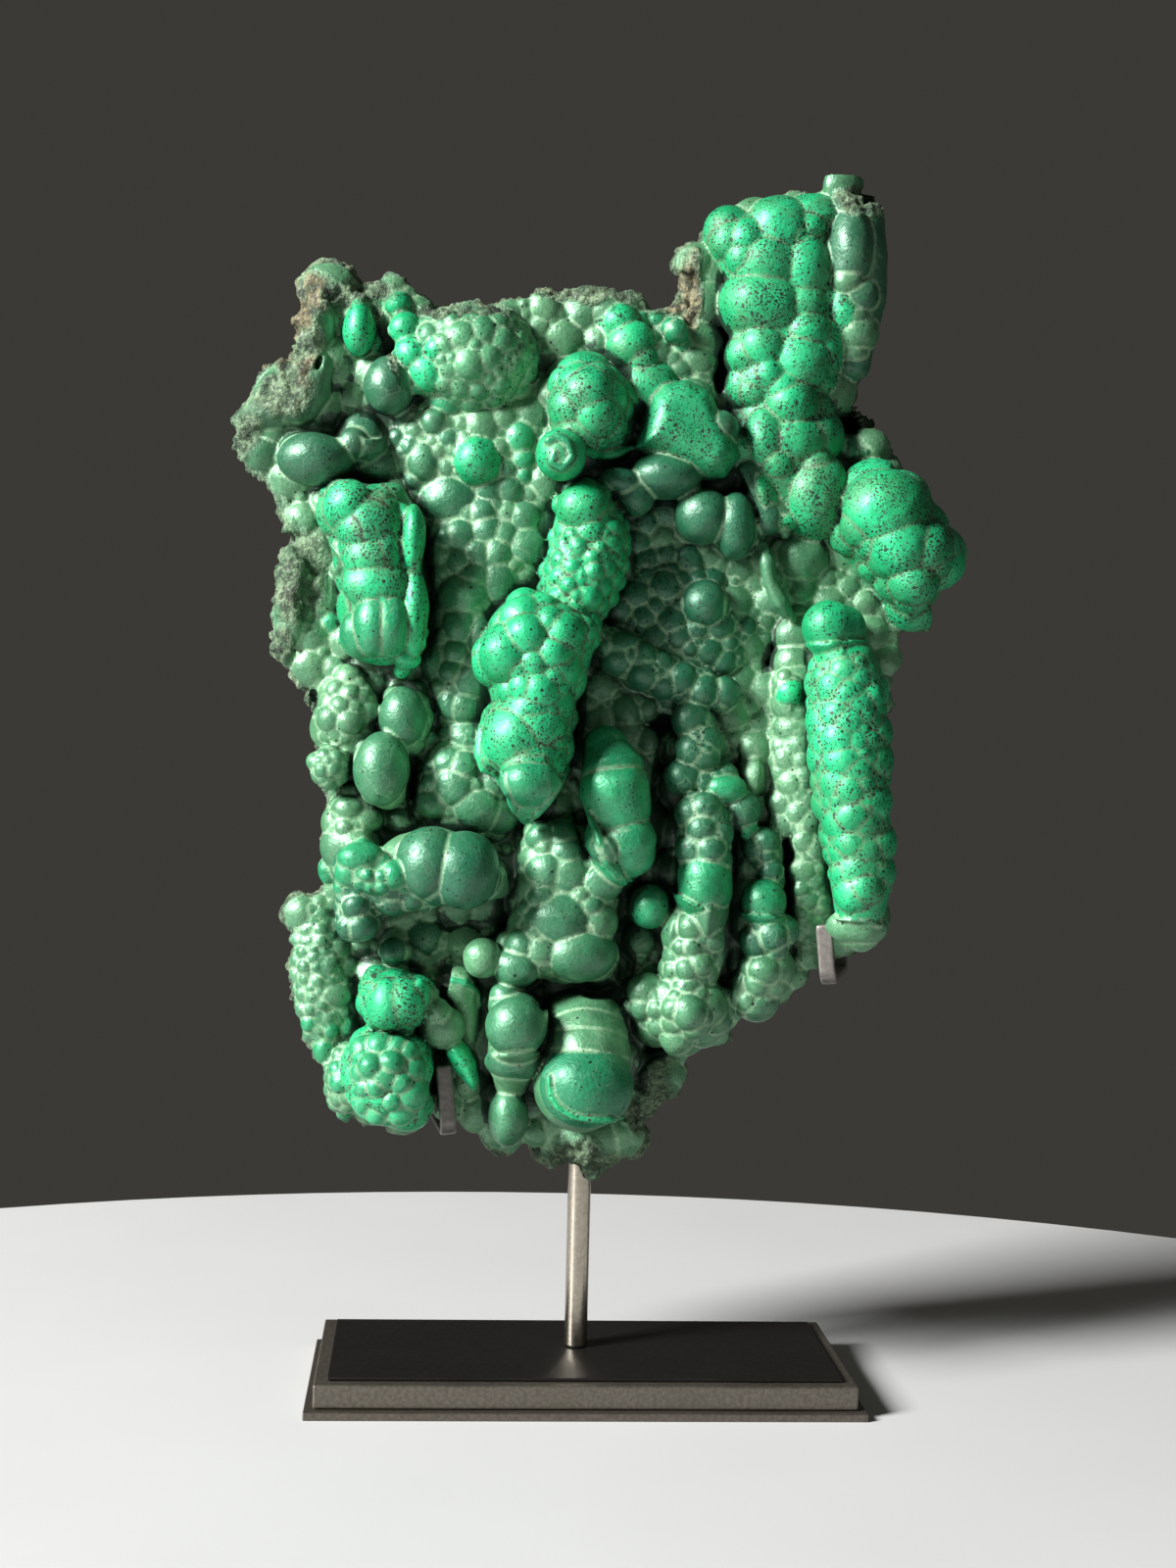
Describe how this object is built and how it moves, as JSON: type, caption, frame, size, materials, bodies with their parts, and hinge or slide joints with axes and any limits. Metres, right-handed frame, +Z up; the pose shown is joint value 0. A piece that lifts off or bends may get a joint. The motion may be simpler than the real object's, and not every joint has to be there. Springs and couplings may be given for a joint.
{
  "type": "malachite specimen",
  "caption": "Flat natural malachite plate covered in rounded globules and hanging fingers, held by two strap hooks on a round post over a low stepped rectangular base.",
  "frame": {"origin": "The centre of the underside of the stand's foot plate, which rests on the table.", "axes": "+Z up, +X to the right seen from the front, +Y away from the viewer into the picture."},
  "size_m": [0.2479, 0.0991, 0.4145],
  "materials": {
    "malachite": "satin",
    "base_foot": "satin",
    "base_body": "satin",
    "base_top": "satin",
    "post": "satin",
    "hook_left": "satin",
    "hook_right": "satin"
  },
  "bodies": {
    "root": {"malachite": "malachite", "base_foot": "base_foot", "base_body": "base_body", "base_top": "base_top", "post": "post", "hook_left": "hook_left", "hook_right": "hook_right"}
  },
  "joints": []
}
